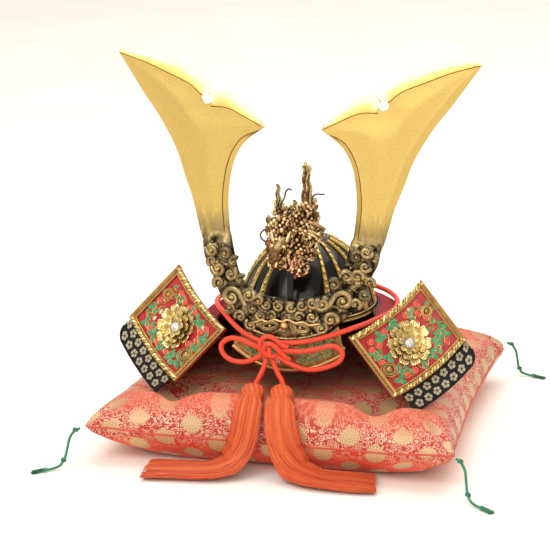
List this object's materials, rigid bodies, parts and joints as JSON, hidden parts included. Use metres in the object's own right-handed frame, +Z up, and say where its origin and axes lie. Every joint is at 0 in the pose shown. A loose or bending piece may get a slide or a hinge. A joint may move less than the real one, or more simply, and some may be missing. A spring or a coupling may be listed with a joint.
{
  "type": "kabuto samurai helmet on display cushion",
  "caption": "Ornamental samurai helmet with tall gold horns, dragon crest, peony turn-backs and a tied chin cord, resting on a red brocade cushion.",
  "frame": {"origin": "on the floor, on the flat underside of the cushion below the helmet", "axes": "+Z up, -Y the helmet's front, +X to the right of a viewer who faces the front"},
  "size_m": [0.5446, 0.503, 0.463],
  "materials": {
    "brocade": "red and gold figured brocade",
    "green_silk": "green silk cord",
    "black_lacquer": "black lacquer, glossy",
    "plain_lacquer": "black lacquer, satin",
    "rib_gilt": "aged gilt",
    "visor_enamel": "green and gold enamel relief",
    "rim_gold": "gilt, worn",
    "panel_red": "red ground under gilt and green scrollwork",
    "peony_gold": "pale gilt cast relief",
    "strip_leather": "black leather with small blossoms",
    "horn_gold": "brushed gold",
    "antique_bronze": "antique bronze cast relief",
    "dragon_bronze": "coppery bronze cast relief",
    "vermilion_cord": "braided vermilion silk cord",
    "orange_silk": "orange silk strands"
  },
  "bodies": {
    "root": {"cushion": "brocade", "corner_cord_front_left": "green_silk", "corner_tassel_front_left": "green_silk", "corner_cord_front_right": "green_silk", "corner_tassel_front_right": "green_silk", "corner_cord_rear_left": "green_silk", "corner_tassel_rear_left": "green_silk", "corner_cord_rear_right": "green_silk", "corner_tassel_rear_right": "green_silk", "bowl": "black_lacquer", "rim_band": "rib_gilt", "rib_left_1": "rib_gilt", "rib_left_2": "rib_gilt", "rib_left_3": "rib_gilt", "rib_left_4": "rib_gilt", "rib_left_5": "rib_gilt", "rib_left_6": "rib_gilt", "rib_left_7": "rib_gilt", "rib_right_1": "rib_gilt", "rib_right_2": "rib_gilt", "rib_right_3": "rib_gilt", "rib_right_4": "rib_gilt", "rib_right_5": "rib_gilt", "rib_right_6": "rib_gilt", "rib_right_7": "rib_gilt", "crown_plate": "rib_gilt", "visor": "visor_enamel", "visor_rim": "rim_gold", "lame_upper": "plain_lacquer", "lame_lower": "plain_lacquer", "turnback_panel_left": "panel_red", "turnback_frame_left": "rim_gold", "peony_left": "peony_gold", "turnback_strip_left": "strip_leather", "horn_left": "horn_gold", "turnback_panel_right": "panel_red", "turnback_frame_right": "rim_gold", "peony_right": "peony_gold", "turnback_strip_right": "strip_leather", "horn_right": "horn_gold", "crest_base": "antique_bronze", "dragon_crest": "dragon_bronze", "chin_cord_loop": "vermilion_cord", "bow_loop_left": "vermilion_cord", "bow_loop_right": "vermilion_cord", "cord_tail_left": "vermilion_cord", "cord_tail_right": "vermilion_cord", "bow_knot": "vermilion_cord", "chin_tassel_left": "orange_silk", "chin_tassel_right": "orange_silk"}
  },
  "joints": []
}
